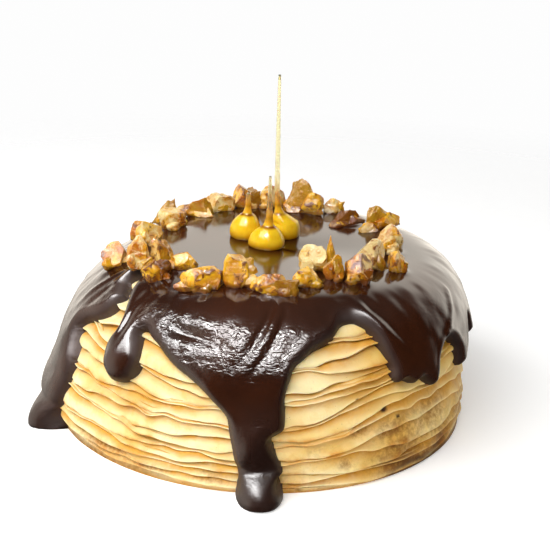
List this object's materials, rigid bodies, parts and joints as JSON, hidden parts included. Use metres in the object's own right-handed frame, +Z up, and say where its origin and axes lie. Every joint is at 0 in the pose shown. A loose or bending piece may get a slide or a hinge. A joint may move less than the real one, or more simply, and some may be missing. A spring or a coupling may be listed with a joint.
{
  "type": "crepe cake",
  "caption": "Stack of thin crepes with hanging edges under a dripping dark chocolate glaze, topped with a ring of nut brittle and spiked caramel hazelnuts.",
  "frame": {"origin": "the middle of the cake's flat underside, on the surface that it stands on", "axes": "+Z up; -Y is the front, the side with the drip that runs down to the table; +X is the cake's right-hand side seen from the front"},
  "size_m": [0.2225, 0.226, 0.1701],
  "materials": {
    "crepe": "soft matte pancake, golden at the edges",
    "chocolate": "glossy poured dark chocolate glaze",
    "nut": "cream nut meat with brown skin under amber caramel",
    "brittle": "broken amber caramel with nut bits",
    "caramel": "clear golden caramel over a pale nut"
  },
  "bodies": {
    "root": {"brittle_chunk_04": "brittle", "brittle_chunk_05": "brittle", "brittle_chunk_08": "brittle", "brittle_chunk_09": "brittle", "brittle_chunk_14": "brittle", "brittle_chunk_17": "brittle", "brittle_chunk_21": "brittle", "brittle_chunk_24": "brittle", "brittle_chunk_27": "brittle", "brittle_chunk_28": "brittle", "brittle_nut_01": "nut", "brittle_nut_02": "nut", "brittle_nut_03": "nut", "brittle_nut_06": "nut", "brittle_nut_07": "nut", "brittle_nut_10": "nut", "brittle_nut_13": "nut", "brittle_nut_15": "nut", "brittle_nut_20": "nut", "brittle_nut_22": "nut", "brittle_nut_23": "nut", "brittle_nut_25": "nut", "brittle_shard_11": "brittle", "brittle_shard_12": "brittle", "brittle_shard_16": "brittle", "brittle_shard_18": "brittle", "brittle_shard_19": "brittle", "brittle_shard_26": "brittle", "caramel_hazelnut_back": "caramel", "caramel_hazelnut_front": "caramel", "caramel_hazelnut_left": "caramel", "chocolate_glaze": "chocolate", "crepe_01": "crepe", "crepe_02": "crepe", "crepe_03": "crepe", "crepe_04": "crepe", "crepe_05": "crepe", "crepe_06": "crepe", "crepe_07": "crepe", "crepe_08": "crepe", "crepe_09": "crepe", "crepe_10": "crepe", "crepe_11": "crepe", "crepe_12": "crepe", "crepe_13": "crepe", "crepe_14": "crepe", "crepe_15": "crepe", "crepe_16": "crepe"}
  },
  "joints": []
}
